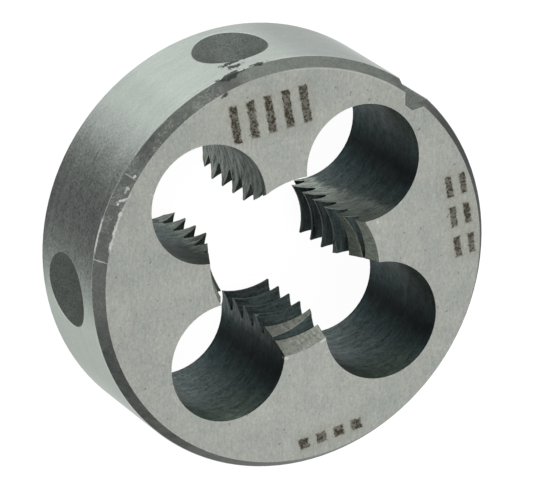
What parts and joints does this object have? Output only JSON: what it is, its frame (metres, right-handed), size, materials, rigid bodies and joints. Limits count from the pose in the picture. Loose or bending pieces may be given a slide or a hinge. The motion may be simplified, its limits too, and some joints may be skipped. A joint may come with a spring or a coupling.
{
  "type": "threading die",
  "caption": "Round solid threading die: a ground steel disc with chamfered rims, round chip holes that break into a central thread, a rim notch and conical screw pits.",
  "frame": {"origin": "centre of the flat lower face that the die rests on, on the thread axis", "axes": "+Z along the thread axis towards the upper face where a rod enters first; -X towards the rim notch, with a chip hole behind it; the other chip holes lie towards +X, +Y and -Y, and their pattern is 0.23 mm off the thread axis"},
  "size_m": [0.025, 0.025, 0.009],
  "materials": {
    "ground_steel": "ground faces and rim, darker in the holes and teeth"
  },
  "bodies": {
    "root": {"threading_die": "ground_steel"}
  },
  "joints": []
}
